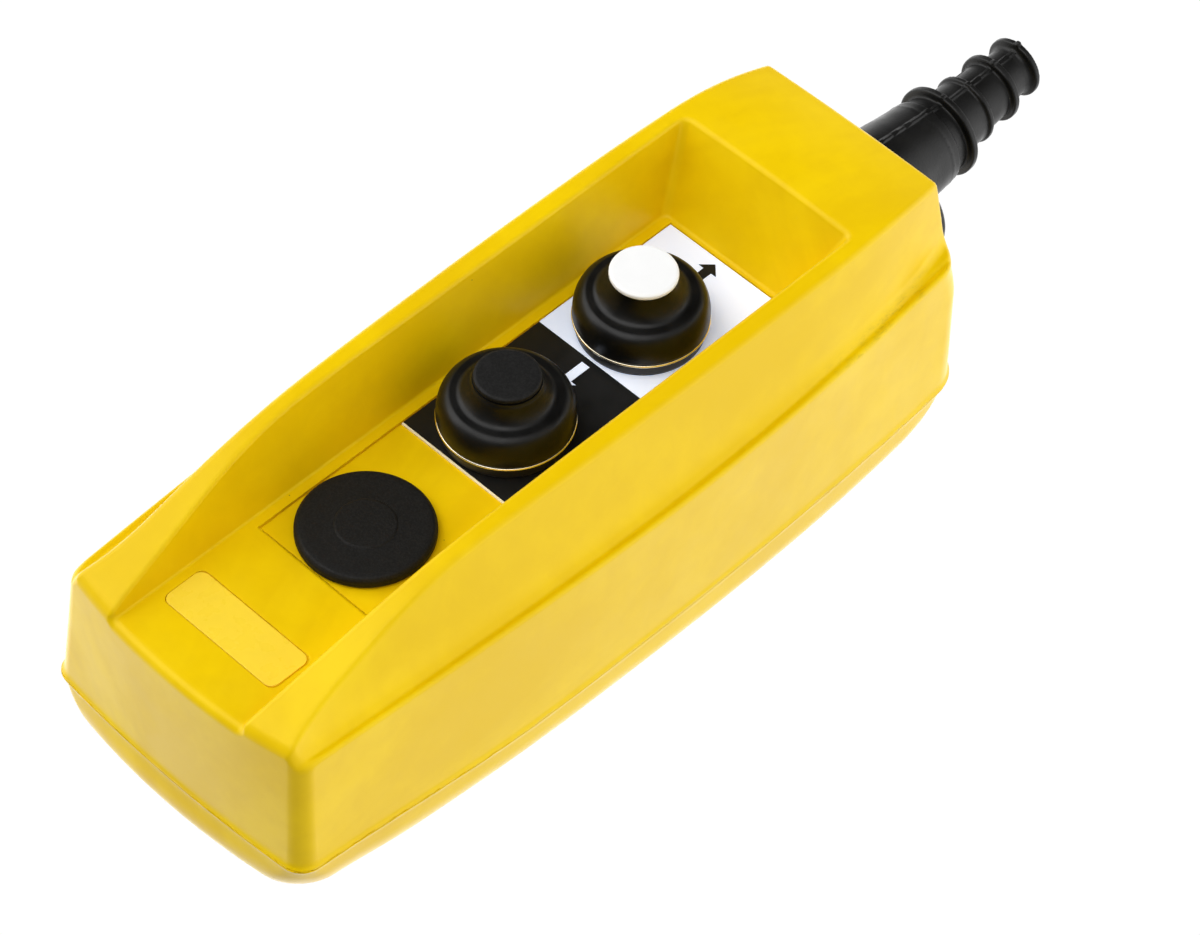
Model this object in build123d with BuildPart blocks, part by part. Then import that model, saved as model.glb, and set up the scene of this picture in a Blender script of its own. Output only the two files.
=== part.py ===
from build123d import *
import os

os.makedirs("parts", exist_ok=True)

# Pendant control station lying on its back: two shells, a raise and a lower push button
# with contact blocks, a blanking plug and a cable sleeve. Millimetres.
# +Z is the normal of the front face, +Y runs along the station to the cable sleeve,
# +X is to the right seen from the front. The origin is the foot of the middle control
# unit's axis on the back rest plane.

# ---------------------------------------------------------------- dimensions
PITCH = 40.0  # centre distance of the 22 mm control units
RAISE_Y = PITCH
LOWER_Y = 0.0
PLUG_Y = -PITCH
HOLE_R = 11.25  # 22.5 mm panel hole

# heights of the shells
Z_PART = 15.4  # joint plane of the two shells
Z_CAVITY = 47.4  # top of the main cavity
Z_CEILING = 48.9  # underside of the trough floor
Z_SHOULDER = 50.4
Z_FLOOR = 51.4  # trough floor
Z_LABEL = Z_FLOOR  # upper face of the legend plates
Z_TOP = 72.0  # top of the tapered block, above the guard crests

# plan outlines: half width at mid length, half width at the ends,
# low end y, top end y, corner radius
PART_PLAN = (40.4, 36.8, -92.4, 106.2, 4.5)
SHOULDER_PLAN = (39.3, 34.1, -90.4, 104.8, 4.0)
TOP_PLAN = (38.6, 32.2, -89.2, 103.9, 3.5)
PLAN_MID_Y = 7.0
BOW_LOW = 3.0  # outward bow of the low end face
BOW_TOP = 1.2
WALL = 3.0

# trough with the control units
TROUGH_HALF = 18.5
TROUGH_START_Y = -120.0  # beyond the low end of the shell
TROUGH_END_Y = 66.9
TROUGH_RISE = 22.0
SIDE_DRAFT = 0.301  # run per mm of rise of the trough side walls
END_DRAFT = 0.575

# legends and nameplate
LEGEND_W = 31.3
LEGEND_H = 0.5
LEGEND_TOP_Y = 65.6
PLATE_W, PLATE_L, PLATE_Y, PLATE_R = 32.0, 11.0, -75.5, 2.0
PLATE_POCKET = 0.5  # depth
POCKET_PLAY = 0.2  # extra width of the pockets

# cable entry
SLEEVE_Z = 42.0
FLANGE_Z = 43.0  # middle height of the sleeve's outer flange
END_FACE_Y = 105.4  # flat seat of the cable sleeve's flange
SEAT_DEPTH = 6.0
BORE_R = 4.0  # free bore of the uncut sleeve's tip
CLAMP_Y = 84.0
CLAMP_POST_Z = 39.9

# push buttons
HEAD_R = 14.6
FLANGE_R = 13.8
GASKET_H = 0.5
RING_Z = 54.6
NUT_Z = 44.9
NUT_R = 13.8
BARREL_R = 11.0
BARREL_Z = 37.0
WELL_Z = 43.0  # floor of the return spring's well
STEM_R = 4.5
STEM_Z = 33.6
STEM_GROOVE_Z = 36.2
COLLAR_Z = 59.0  # underside of the plunger's collar
COLLAR_H = 1.6

# contact carrier and contact blocks
CARRIER_Z = 6.05
BLOCK_Z = 8.5  # foot of the contact blocks
BLOCK_FOOT_H = 4.05
STRIP_Z = 12.6  # underside of the fixed contact strips
STRIP_H = 0.8
BLOCK_PLUNGER_Z = 16.0
BRIDGE_Z = 18.65
PAD_R = 1.5  # contact pads
SPRING_FOOT_GAP = 0.02
SPRING_PLAY = 0.05  # well depth left over by a spring's height


# ------------------------------------------------------------------- helpers
def pair(x, second):
    """Two places mirrored about the middle plane."""
    return [(-x, second), (x, second)]


COVER_SCREWS = pair(27.0, -79.0) + pair(27.0, 90.0)
CARRIER_SCREWS = pair(22.0, -16.0) + pair(22.0, 56.0)
CLAMP_SCREWS = pair(11.0, CLAMP_Y)
RETAINER_SCREWS = pair(16.5, 32.5)  # x, z


def level(z):
    """Horizontal plane, normal +Z."""
    return Plane.XY.offset(z)


def upright(y):
    """Plane across the station, normal -Y: negative lengths run towards +Y."""
    return Plane.XZ.offset(-y)


def discs(plane, length, radius, places, bore=None, mode=Mode.ADD):
    """Round pegs, washers or holes at several places of a plane."""
    with BuildSketch(plane) as outline:
        with Locations(*places):
            Circle(radius)
            if bore:
                Circle(bore, mode=Mode.SUBTRACT)
    extrude(outline.sketch, amount=length, mode=mode)


def blocks(z, height, width, depth, places, mode=Mode.ADD):
    """Rectangular blocks or cuts standing on height z."""
    with BuildSketch(level(z)) as outline:
        with Locations(*places):
            Rectangle(width, depth)
    extrude(outline.sketch, amount=height, mode=mode)


def plan(z, half_mid, half_end, low, top, radius, inset=0.0, radius_min=1.5):
    """Barrel-shaped plan outline at height z, moved inwards by inset."""
    middle, end = half_mid - inset, half_end - inset
    low_y, top_y = low + inset, top - inset
    with BuildSketch(level(z)) as outline:
        with BuildLine():
            ThreePointArc((end, low_y), (middle, PLAN_MID_Y), (end, top_y))
            ThreePointArc((end, top_y), (0, top_y + BOW_TOP), (-end, top_y))
            ThreePointArc((-end, top_y), (-middle, PLAN_MID_Y), (-end, low_y))
            ThreePointArc((-end, low_y), (0, low_y - BOW_LOW), (end, low_y))
        make_face()
        fillet(outline.vertices(), max(radius - 0.6 * inset, radius_min))
    return outline.sketch.face()


def washer(y, z, height, outer, inner):
    """Flat ring round a control unit's axis."""
    with BuildPart() as layer:
        discs(level(z), height, outer, [(0, y)], bore=inner)
    return layer.part


def coil(y, z, height, coil_r, wire_r, turns):
    """Compression spring standing on z."""
    with BuildPart() as wound:
        with BuildLine() as path:
            Helix(
                pitch=(height - 2 * wire_r) / turns,
                height=height - 2 * wire_r,
                radius=coil_r,
                center=(0, y, z + wire_r),
            )
        with BuildSketch(Plane(origin=path.line @ 0, z_dir=path.line % 0)):
            Circle(wire_r)
        sweep()
    return wound.part


# -------------------------------------------------------------- front shell
# guard and shoulder stations: y, crest height, crest half width,
# shoulder half width, foot height of the guard wall
STATIONS = [
    (-100.0, 50.2, 31.2, 32.6, 50.0),
    (-94.0, 52.2, 31.3, 33.0, 51.8),
    (-90.0, 53.5, 30.6, 33.6, 53.1),
    (-86.0, 54.9, 29.2, 34.2, 54.2),
    (-80.0, 57.2, 28.1, 34.8, 54.0),
    (-72.0, 60.2, 27.5, 35.5, 53.8),
    (-64.0, 63.3, 27.3, 36.0, 53.5),
    (-55.0, 66.2, 27.2, 36.6, 53.4),
    (-45.0, 68.2, 27.2, 37.0, 53.4),
    (-33.0, 69.5, 27.6, 37.6, 53.4),
    (-12.0, 69.8, 28.2, 38.6, 53.4),
    (23.0, 69.9, 28.7, 39.3, 53.4),
    (53.0, 69.9, 28.3, 38.1, 53.4),
    (78.0, 69.8, 27.6, 36.2, 53.4),
    (93.0, 68.1, 26.5, 34.8, 53.2),
    (103.0, 66.1, 24.9, 33.0, 53.0),
    (111.0, 64.4, 23.4, 31.4, 52.8),
]

# core of one side guard: distance from the middle plane, z
GUARD_CORE = [(21.4, 47.0), (31.0, 47.0), (30.0, 52.4), (26.6, 64.6), (25.6, 64.6)]
GUARD_CORE_START_Y, GUARD_CORE_END_Y = -48.0, 95.0
# core of the top end: y, z
END_CORE = [(69.6, 47.0), (101.6, 47.0), (101.6, 60.6), (81.0, 64.4), (79.6, 64.4)]
END_CORE_HALF = 19.0


def guard_section(y, crest, half, shoulder, foot):
    """Cross-section bounding the casing from above: crest, drafted wall, groove and rim."""
    side = [
        (60.0, 5.0),
        (60.0, Z_SHOULDER),
        (shoulder - 0.6, Z_SHOULDER + 0.2),
        (shoulder - 1.3, Z_SHOULDER - 0.1),
        (max(shoulder - 2.4, half + 0.8), min(Z_SHOULDER + 1.0, foot - 0.3)),
        (max(shoulder - 5.0, half + 0.4), foot),
        (half, crest - 0.9),
        (half - 0.9, crest),
    ]
    points = side + [(-x, z) for x, z in reversed(side)]
    with BuildSketch(Plane((0, y, 0), x_dir=(1, 0, 0), z_dir=(0, -1, 0))) as section:
        with BuildLine():
            Polyline(*points, close=True)
        make_face()
    return section.sketch.face()


def make_front_shell():
    with BuildPart() as envelope:
        loft(sections=[guard_section(*station) for station in STATIONS])

    with BuildPart() as shell:
        loft(sections=[plan(Z_PART, *PART_PLAN), plan(Z_SHOULDER, *SHOULDER_PLAN)])
        loft(sections=[plan(Z_SHOULDER, *SHOULDER_PLAN), plan(Z_TOP, *TOP_PLAN)])
        # flat seat for the sleeve flange: filled behind the end face, cleared outside it
        for depth, mode in ((SEAT_DEPTH, Mode.ADD), (-SEAT_DEPTH, Mode.SUBTRACT)):
            with BuildSketch(upright(END_FACE_Y)):
                with Locations((0, FLANGE_Z)):
                    RectangleRounded(52.0, 38.0, 13.0)
            extrude(amount=depth, mode=mode)
        add(envelope.part, mode=Mode.INTERSECT)
        # trough, widening upwards
        for rise, corner in ((0.0, 1.0), (TROUGH_RISE, 2.4)):
            end_y = TROUGH_END_Y + END_DRAFT * rise
            with BuildSketch(level(Z_FLOOR + rise)):
                with Locations((0, (end_y + TROUGH_START_Y) / 2)):
                    RectangleRounded(
                        2 * (TROUGH_HALF + SIDE_DRAFT * rise), end_y - TROUGH_START_Y, corner
                    )
        loft(mode=Mode.SUBTRACT)
        # main cavity and the recess above it, under the trough floor
        loft(
            sections=[
                plan(Z_PART, *PART_PLAN, inset=WALL),
                plan(Z_CAVITY, *SHOULDER_PLAN, inset=WALL),
            ],
            mode=Mode.SUBTRACT,
        )
        blocks(Z_CAVITY, Z_CEILING - Z_CAVITY, 38.0, 152.0, [(0, -8)], mode=Mode.SUBTRACT)
        # hollow cores of the two side guards
        with BuildSketch(upright(GUARD_CORE_START_Y)):
            for side in (-1, 1):
                with BuildLine():
                    Polyline(*[(side * x, z) for x, z in GUARD_CORE], close=True)
                make_face()
        extrude(amount=GUARD_CORE_START_Y - GUARD_CORE_END_Y, mode=Mode.SUBTRACT)
        # hollow core of the top end
        with BuildSketch(Plane.YZ.offset(-END_CORE_HALF)):
            with BuildLine():
                Polyline(*END_CORE, close=True)
            make_face()
        extrude(amount=2 * END_CORE_HALF, mode=Mode.SUBTRACT)
        # cover screw posts, cable clamp posts, retainer bosses inside the end wall
        discs(level(Z_PART), 33.0, 4.6, COVER_SCREWS)
        discs(level(CLAMP_POST_Z), 25.0, 3.4, CLAMP_SCREWS)
        discs(upright(99.2), -4.0, 2.6, RETAINER_SCREWS)
        # pocket of the two legends, empty legend pocket and nameplate pocket
        with BuildSketch(level(Z_LABEL - LEGEND_H)):
            with Locations((0, LEGEND_TOP_Y - PITCH)):
                Rectangle(LEGEND_W + POCKET_PLAY, 2 * PITCH)
            with Locations((0, LEGEND_TOP_Y - 2.5 * PITCH)):
                Rectangle(LEGEND_W + POCKET_PLAY, PITCH)
        extrude(amount=2.0, mode=Mode.SUBTRACT)
        with BuildSketch(level(Z_FLOOR - PLATE_POCKET)):
            with Locations((0, PLATE_Y)):
                RectangleRounded(PLATE_W + POCKET_PLAY, PLATE_L + POCKET_PLAY, PLATE_R)
        extrude(amount=2.0, mode=Mode.SUBTRACT)
        # control unit holes, and the sleeve hole through the end wall
        units = [(0, RAISE_Y), (0, LOWER_Y), (0, PLUG_Y)]
        discs(level(44.0), 10.0, HOLE_R, units, mode=Mode.SUBTRACT)
        discs(upright(95.0), -14.0, 12.7, [(0, SLEEVE_Z)], mode=Mode.SUBTRACT)
        # screw pilots
        discs(level(Z_PART), 20.0, 2.03, COVER_SCREWS, mode=Mode.SUBTRACT)
        discs(level(CLAMP_POST_Z), 12.0, 1.53, CLAMP_SCREWS, mode=Mode.SUBTRACT)
        discs(upright(99.2), -4.5, 1.28, RETAINER_SCREWS, mode=Mode.SUBTRACT)
    return shell.part


# --------------------------------------------------------------- rear shell
# z, inset and least plan corner radius of the dome and of its hollow
DOME = [
    (Z_PART, 0.0, 4.5), (12.4, 0.05, 6.5), (9.0, 0.75, 9.0), (5.0, 2.85, 12.0),
    (2.0, 6.0, 14.0), (0.5, 9.2, 15.0), (0.0, 12.0, 15.5),
]
HOLLOW = [
    (Z_PART, WALL, 3.5), (9.0, WALL + 1.0, 7.5), (5.4, WALL + 3.4, 10.5),
    (3.0, WALL + 7.2, 13.0),
]
GROOVE_Z = Z_PART - 1.2  # floor of the seal groove
COVER_BOSS_R = 6.0
COVER_HOLE_R = 2.3


def dome_sections(table):
    return [plan(z, *PART_PLAN, inset=inset, radius_min=corner) for z, inset, corner in table]


def make_rear_shell():
    with BuildPart() as shell:
        loft(sections=dome_sections(DOME))
        loft(sections=dome_sections(HOLLOW), mode=Mode.SUBTRACT)
        # bosses for the cover screws and the contact carrier, trimmed to the dome
        discs(level(2.0), Z_PART - 2.0, COVER_BOSS_R, COVER_SCREWS)
        discs(level(2.0), 4.0, 3.6, CARRIER_SCREWS)
        loft(sections=dome_sections(DOME), mode=Mode.INTERSECT)
        # counterbores, clearance holes and carrier screw pilots
        discs(level(-1.0), 7.0, 4.4, COVER_SCREWS, mode=Mode.SUBTRACT)
        discs(level(5.0), 12.0, COVER_HOLE_R, COVER_SCREWS, mode=Mode.SUBTRACT)
        discs(level(2.6), 5.0, 1.53, CARRIER_SCREWS, mode=Mode.SUBTRACT)
        # seal groove: rim cut down, inner lip put back, cavity cleared again
        extrude(plan(GROOVE_Z, *PART_PLAN, inset=0.8), amount=2.0, mode=Mode.SUBTRACT)
        extrude(plan(GROOVE_Z, *PART_PLAN, inset=2.2), amount=1.2)
        extrude(
            plan(GROOVE_Z, *PART_PLAN, inset=WALL, radius_min=4.0),
            amount=2.0,
            mode=Mode.SUBTRACT,
        )
        # boss tops put back up to the joint plane
        discs(level(Z_PART - 1.3), 1.3, COVER_BOSS_R, COVER_SCREWS, bore=COVER_HOLE_R)
    return shell.part


def make_shell_seal():
    """Cord seal between the shells."""
    height = 1.15
    with BuildPart() as seal:
        extrude(plan(Z_PART - height, *PART_PLAN, inset=0.95), amount=height)
        extrude(
            plan(Z_PART - height, *PART_PLAN, inset=2.05), amount=height, mode=Mode.SUBTRACT
        )
    return seal.part


def make_cover_screws():
    """Four cross-slotted screws driven from the back."""
    head_z, head_h = 2.2, 3.8
    with BuildPart() as screws:
        discs(level(head_z), head_h, 3.8, COVER_SCREWS)
        discs(level(head_z + head_h), 24.0, 2.0, COVER_SCREWS)
        with BuildSketch(level(head_z)):
            with Locations(*COVER_SCREWS):
                Rectangle(5.0, 1.0)
                Rectangle(1.0, 5.0)
        extrude(amount=1.8, mode=Mode.SUBTRACT)
    return screws.part


# ------------------------------------------------- legends and nameplate
def make_legend(y):
    with BuildPart() as legend:
        with BuildSketch(level(Z_LABEL - LEGEND_H)):
            with Locations((0, y + LEGEND_TOP_Y - 1.5 * PITCH)):
                Rectangle(LEGEND_W, PITCH - 0.1)
            with Locations((0, y)):
                Circle(HOLE_R + 0.1, mode=Mode.SUBTRACT)
        extrude(amount=LEGEND_H)
    return legend.part


def make_nameplate():
    with BuildPart() as nameplate:
        with BuildSketch(level(Z_FLOOR - PLATE_POCKET)):
            with Locations((0, PLATE_Y)):
                RectangleRounded(PLATE_W, PLATE_L, PLATE_R)
        extrude(amount=0.45)
    return nameplate.part


# ------------------------------------------------------ booted push buttons
def make_nut(y):
    """Ring nut under the trough floor, with eight notches in its rim."""
    height = Z_CEILING - NUT_Z
    with BuildPart() as nut:
        discs(level(NUT_Z), height, NUT_R, [(0, y)], bore=BARREL_R + 0.05)
        with BuildSketch(level(NUT_Z)):
            with Locations((0, y)):
                with PolarLocations(14.2, 8):
                    Circle(1.6)
        extrude(amount=height, mode=Mode.SUBTRACT)
    return nut.part


def make_head_body(y):
    """Barrel and flange with the spring well and the guide bore."""
    axis = [(0, y)]
    flange_z = Z_LABEL + GASKET_H
    with BuildPart() as head:
        discs(level(BARREL_Z), flange_z - BARREL_Z, BARREL_R, axis)
        discs(level(flange_z), RING_Z - flange_z, FLANGE_R, axis)
        discs(level(WELL_Z), 12.0, 7.6, axis, mode=Mode.SUBTRACT)
        discs(level(BARREL_Z), 8.0, STEM_R + 0.05, axis, mode=Mode.SUBTRACT)
    return head.part


def make_boot(y, cap_drop):
    """Bell-shaped rubber boot, half section revolved (x, z)."""
    rim_z = 67.4 - cap_drop
    seat_z = 64.6 - cap_drop
    with BuildPart() as boot:
        with BuildSketch(upright(y)):
            with BuildLine():
                Spline(
                    (14.5, 55.25), (14.55, 57.0), (14.1, 59.4),
                    (13.2, 61.3), (11.9, 62.0), (10.2, 61.7),
                )
                Spline(
                    (10.2, 61.7), (9.4, 62.4), (8.2, 64.0),
                    (7.5, 66.0 - cap_drop / 2), (7.25, rim_z),
                )
                Polyline(
                    (7.25, rim_z), (5.8, rim_z), (5.8, seat_z), (3.5, seat_z),
                    (3.5, 62.9), (7.0, 62.4), (8.2, 61.0), (10.2, 60.2),
                    (11.9, 60.2), (12.9, 58.8), (12.9, 55.25), (14.5, 55.25),
                )
            make_face()
        revolve(axis=Axis((0, y, 0), (0, 0, 1)))
    return boot.part


def make_cap(y, cap_drop):
    """Button cap snapped on the plunger."""
    axis = [(0, y)]
    skirt_z = 64.8 - cap_drop
    skirt_h = 2.7
    with BuildPart() as cap:
        discs(level(67.5 - cap_drop), 1.35, 7.35, axis)
        fillet(cap.edges().group_by(Axis.Z)[-1], 0.6)
        discs(level(skirt_z), skirt_h, 5.6, axis)
        discs(level(skirt_z), 3.0, 3.02, axis, mode=Mode.SUBTRACT)
    return cap.part


def make_plunger(y, cap_drop):
    """Stem with collar, cap pin and clip groove."""
    axis = [(0, y)]
    collar_top = COLLAR_Z + COLLAR_H
    with BuildPart() as plunger:
        discs(level(STEM_Z), collar_top - STEM_Z, STEM_R, axis)
        discs(level(COLLAR_Z), COLLAR_H, 6.5, axis)
        discs(level(collar_top), 7.1 - cap_drop, 3.0, axis)
        discs(level(STEM_GROOVE_Z), 0.7, STEM_R + 1.0, axis, bore=3.7, mode=Mode.SUBTRACT)
    return plunger.part


def make_stem_clip(y):
    """Retaining clip in the plunger's groove, under the barrel, open towards -Y."""
    with BuildPart() as clip:
        with BuildSketch(level(STEM_GROOVE_Z + 0.05)):
            with Locations((0, y)):
                Circle(6.4)
                Circle(3.75, mode=Mode.SUBTRACT)
            with Locations((0, y - 5.0)):
                Rectangle(5.0, 6.0, mode=Mode.SUBTRACT)
        extrude(amount=0.6)
    return clip.part


# ----------------------------------------------------------- contact blocks
TERMINAL_X = 16.2
PAD_X = 6.0


def make_block_housing(y):
    axis = [(0, y)]
    foot_top = BLOCK_Z + BLOCK_FOOT_H
    with BuildPart() as housing:
        blocks(BLOCK_Z, BLOCK_FOOT_H, 40.0, 17.0, axis)
        blocks(foot_top, 16.95, 26.0, 17.0, axis)
        fillet(housing.edges().filter_by(Axis.Z).group_by(SortBy.LENGTH)[-1], 0.8)
        # chamber, plunger hole, slot for the contact strips, terminal screw holes
        blocks(BLOCK_Z, 19.0, 21.0, 12.0, axis, mode=Mode.SUBTRACT)
        discs(level(27.0), 4.0, 3.06, axis, mode=Mode.SUBTRACT)
        blocks(foot_top, 0.95, 44.0, 5.3, axis, mode=Mode.SUBTRACT)
        discs(level(9.6), 4.0, 1.7, pair(TERMINAL_X, y), mode=Mode.SUBTRACT)
    return housing.part


def make_fixed_contacts(y):
    """Two strips with a terminal hole and a contact pad each."""
    with BuildPart() as contacts:
        with BuildSketch(level(STRIP_Z)):
            with Locations(*pair(11.7, y)):
                Rectangle(15.2, 5.0)
            with Locations(*pair(TERMINAL_X, y)):
                Circle(1.66, mode=Mode.SUBTRACT)
        extrude(amount=STRIP_H)
        discs(level(STRIP_Z + STRIP_H), 0.6, PAD_R, pair(PAD_X, y))
    return contacts.part


def make_terminal_screws(y):
    places = pair(TERMINAL_X, y)
    shank_z, shank_h = 10.0, 3.45
    head_h, slot_depth = 2.0, 1.0
    head_z = shank_z + shank_h
    with BuildPart() as screws:
        discs(level(shank_z), shank_h, 1.6, places)
        discs(level(head_z), head_h, 2.9, places)
        slot_z = head_z + head_h - slot_depth
        blocks(slot_z, slot_depth, 6.2, 0.8, places, mode=Mode.SUBTRACT)
    return screws.part


def make_block_plunger(y):
    """Pin under the button's stem, with a collar and a slot for the bridge."""
    axis = [(0, y)]
    with BuildPart() as plunger:
        discs(level(BLOCK_PLUNGER_Z), STEM_Z - 0.05 - BLOCK_PLUNGER_Z, 3.0, axis)
        discs(level(25.8), 1.6, 4.6, axis)
        blocks(BRIDGE_Z - 0.05, 0.9, 12.0, 3.6, axis, mode=Mode.SUBTRACT)
    return plunger.part


def make_contact_bridge(y):
    """Moving bar with a pad under each end."""
    pad_h = 0.6
    overlap = 0.05  # drawn as part of the pad height below
    with BuildPart() as bridge:
        blocks(BRIDGE_Z, 0.8, 17.0, 3.5, [(0, y)])
        discs(level(BRIDGE_Z - pad_h), pad_h + overlap, PAD_R, pair(PAD_X, y))
    return bridge.part


# ------------------------------------------------------------ blanking plug
def make_blanking_plug():
    axis = [(0, PLUG_Y)]
    head_h = 2.6
    barrel_z = 43.5
    with BuildPart() as plug:
        discs(level(Z_LABEL), head_h, HEAD_R, axis)
        fillet(plug.edges().group_by(Axis.Z)[-1], 1.1)
        discs(level(Z_LABEL + head_h), 0.25, 6.2, axis)
        discs(level(barrel_z), Z_LABEL - barrel_z, BARREL_R, axis, bore=8.5)
    return plug.part


# ----------------------------------------------------------- contact carrier
def make_contact_carrier():
    with BuildPart() as carrier:
        with BuildSketch(level(CARRIER_Z)):
            with Locations((0, (RAISE_Y + LOWER_Y) / 2)):
                RectangleRounded(52.0, 80.0, 3.0)
            with Locations(*CARRIER_SCREWS):
                Circle(1.65, mode=Mode.SUBTRACT)
        extrude(amount=2.4)
    return carrier.part


def make_carrier_screws():
    head_z, head_h, slot_depth = 8.5, 2.0, 1.0
    shank_z = 3.0
    with BuildPart() as screws:
        discs(level(head_z), head_h, 2.8, CARRIER_SCREWS)
        discs(level(shank_z), head_z - shank_z, 1.5, CARRIER_SCREWS)
        slot_z = head_z + head_h - slot_depth
        blocks(slot_z, slot_depth, 6.0, 0.8, CARRIER_SCREWS, mode=Mode.SUBTRACT)
    return screws.part


# -------------------------------------------------------------- cable sleeve
# ribbed outside and stepped bore, smallest at the tip: y, radius about the sleeve's axis
SLEEVE_OUTSIDE = [
    (END_FACE_Y + 1.0, 0.0), (END_FACE_Y + 1.0, 12.2), (112.0, 11.8), (121.0, 11.1),
    (131.4, 10.2), (132.0, 9.4), (134.6, 9.1), (135.2, 10.7), (135.8, 11.0),
    (136.8, 10.9), (137.6, 8.2), (138.6, 7.8), (143.6, 7.5), (144.2, 8.1),
    (145.4, 8.1), (146.0, 7.0), (151.6, 6.6), (152.3, 7.9), (153.9, 8.0),
    (154.7, 6.0), (159.6, 5.6), (160.5, 6.8), (161.4, 7.0), (162.0, 6.6), (162.0, 0.0),
]
SLEEVE_BORE = [
    (98.0, 0.0), (98.0, 9.0), (118.0, 8.4), (130.0, 6.9), (138.0, 6.4), (140.0, 5.2),
    (147.0, 4.8), (150.0, BORE_R), (164.0, BORE_R), (164.0, 0.0),
]


def make_cable_sleeve():
    axis = Axis((0, 0, SLEEVE_Z), (0, 1, 0))
    with BuildPart() as sleeve:
        with BuildSketch(Plane.YZ):
            with BuildLine():
                Polyline(*[(y, SLEEVE_Z + radius) for y, radius in SLEEVE_OUTSIDE], close=True)
            make_face()
        revolve(axis=axis)
        # outer flange on the end face
        with BuildSketch(upright(END_FACE_Y + 0.05)):
            with Locations((0, FLANGE_Z)):
                RectangleRounded(48.6, 34.0, 12.0)
        extrude(amount=-4.0)
        fillet(sleeve.edges().filter_by(Plane.XZ).group_by(Axis.Y)[1], 1.2)
        # neck through the end wall and inner flange
        discs(upright(101.0), -6.0, 12.5, [(0, SLEEVE_Z)])
        discs(upright(99.4), -2.0, 15.4, [(0, SLEEVE_Z)])
        with BuildSketch(Plane.YZ):
            with BuildLine():
                Polyline(*[(y, SLEEVE_Z + radius) for y, radius in SLEEVE_BORE], close=True)
            make_face()
        revolve(axis=axis, mode=Mode.SUBTRACT)
    return sleeve.part


def make_sleeve_retainer():
    with BuildPart() as retainer:
        with BuildSketch(upright(97.0)):
            with Locations((0, SLEEVE_Z - 1.5)):
                RectangleRounded(38.0, 29.0, 4.0)
            with Locations((0, SLEEVE_Z)):
                Circle(9.6, mode=Mode.SUBTRACT)
            with Locations(*RETAINER_SCREWS):
                Circle(1.4, mode=Mode.SUBTRACT)
        extrude(amount=-2.15)
    return retainer.part


def make_retainer_screws():
    with BuildPart() as screws:
        discs(upright(95.3), -1.65, 2.3, RETAINER_SCREWS)
        discs(upright(96.9), -5.6, 1.25, RETAINER_SCREWS)
    return screws.part


def make_cable_clamp():
    """Bar across the cable, screwed to two posts of the front shell."""
    with BuildPart() as clamp:
        with BuildSketch(level(35.2)):
            with Locations((0, CLAMP_Y)):
                RectangleRounded(29.0, 8.0, 2.0)
            with Locations(*CLAMP_SCREWS):
                Circle(1.6, mode=Mode.SUBTRACT)
        extrude(amount=4.65)
        # cable saddle
        discs(upright(CLAMP_Y - 5.0), -10.0, 4.8, [(0, SLEEVE_Z - 0.2)], mode=Mode.SUBTRACT)
    return clamp.part


def make_clamp_screws():
    with BuildPart() as screws:
        discs(level(33.1), 2.05, 2.7, CLAMP_SCREWS)
        discs(level(35.1), 13.2, 1.5, CLAMP_SCREWS)
    return screws.part


# -------------------------------------------------------------------- pieces
def button_pieces(y, cap_drop):
    """Push button and contact block on one axis; cap_drop lowers the cap."""
    spring_h = COLLAR_Z - WELL_Z - SPRING_PLAY
    block_spring_h = BLOCK_PLUNGER_Z - BLOCK_Z - SPRING_PLAY
    return {
        "legend": make_legend(y),
        "head_gasket": washer(y, Z_LABEL, GASKET_H, FLANGE_R, BARREL_R + 0.1),
        "head_body": make_head_body(y),
        "clamp_ring": washer(y, RING_Z, 0.6, HEAD_R + 0.1, 12.4),
        "head_nut": make_nut(y),
        "boot": make_boot(y, cap_drop),
        "cap": make_cap(y, cap_drop),
        "plunger": make_plunger(y, cap_drop),
        "stem_clip": make_stem_clip(y),
        "return_spring": coil(
            y, WELL_Z + SPRING_FOOT_GAP, spring_h, coil_r=5.75, wire_r=0.45, turns=7
        ),
        "block_housing": make_block_housing(y),
        "fixed_contacts": make_fixed_contacts(y),
        "terminal_screws": make_terminal_screws(y),
        "block_plunger": make_block_plunger(y),
        "contact_bridge": make_contact_bridge(y),
        "block_spring": coil(
            y, BLOCK_Z + SPRING_FOOT_GAP, block_spring_h, coil_r=2.3, wire_r=0.35, turns=4
        ),
    }


pieces = {
    "front_shell": make_front_shell(),
    "rear_shell": make_rear_shell(),
    "shell_seal": make_shell_seal(),
    "cover_screws": make_cover_screws(),
    "nameplate": make_nameplate(),
    "plug_seal": washer(PLUG_Y, Z_LABEL - LEGEND_H, LEGEND_H, 14.0, BARREL_R + 0.1),
    "blanking_plug": make_blanking_plug(),
    "plug_nut": make_nut(PLUG_Y),
    "contact_carrier": make_contact_carrier(),
    "carrier_screws": make_carrier_screws(),
    "cable_sleeve": make_cable_sleeve(),
    "sleeve_retainer": make_sleeve_retainer(),
    "retainer_screws": make_retainer_screws(),
    "cable_clamp": make_cable_clamp(),
    "clamp_screws": make_clamp_screws(),
}
for side, unit_y, drop in (("raise", RAISE_Y, 0.0), ("lower", LOWER_Y, 0.8)):
    for piece, part in button_pieces(unit_y, drop).items():
        pieces[f"{side}_{piece}"] = part

for name, part in pieces.items():
    part.label = name
    export_step(part, f"parts/{name}.step")
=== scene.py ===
"""Pendant control station: a yellow two-part casing with two booted push buttons, a blanking
plug, legends and a rubber cable sleeve.

It lies on its back: Z points up through the buttons, Y runs along the casing towards the cable
and X is across. Pieces are measured in mm; materials, lights and camera in metres.
"""

import math

import bpy
import numpy as np
from mathutils import Matrix, Vector


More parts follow.
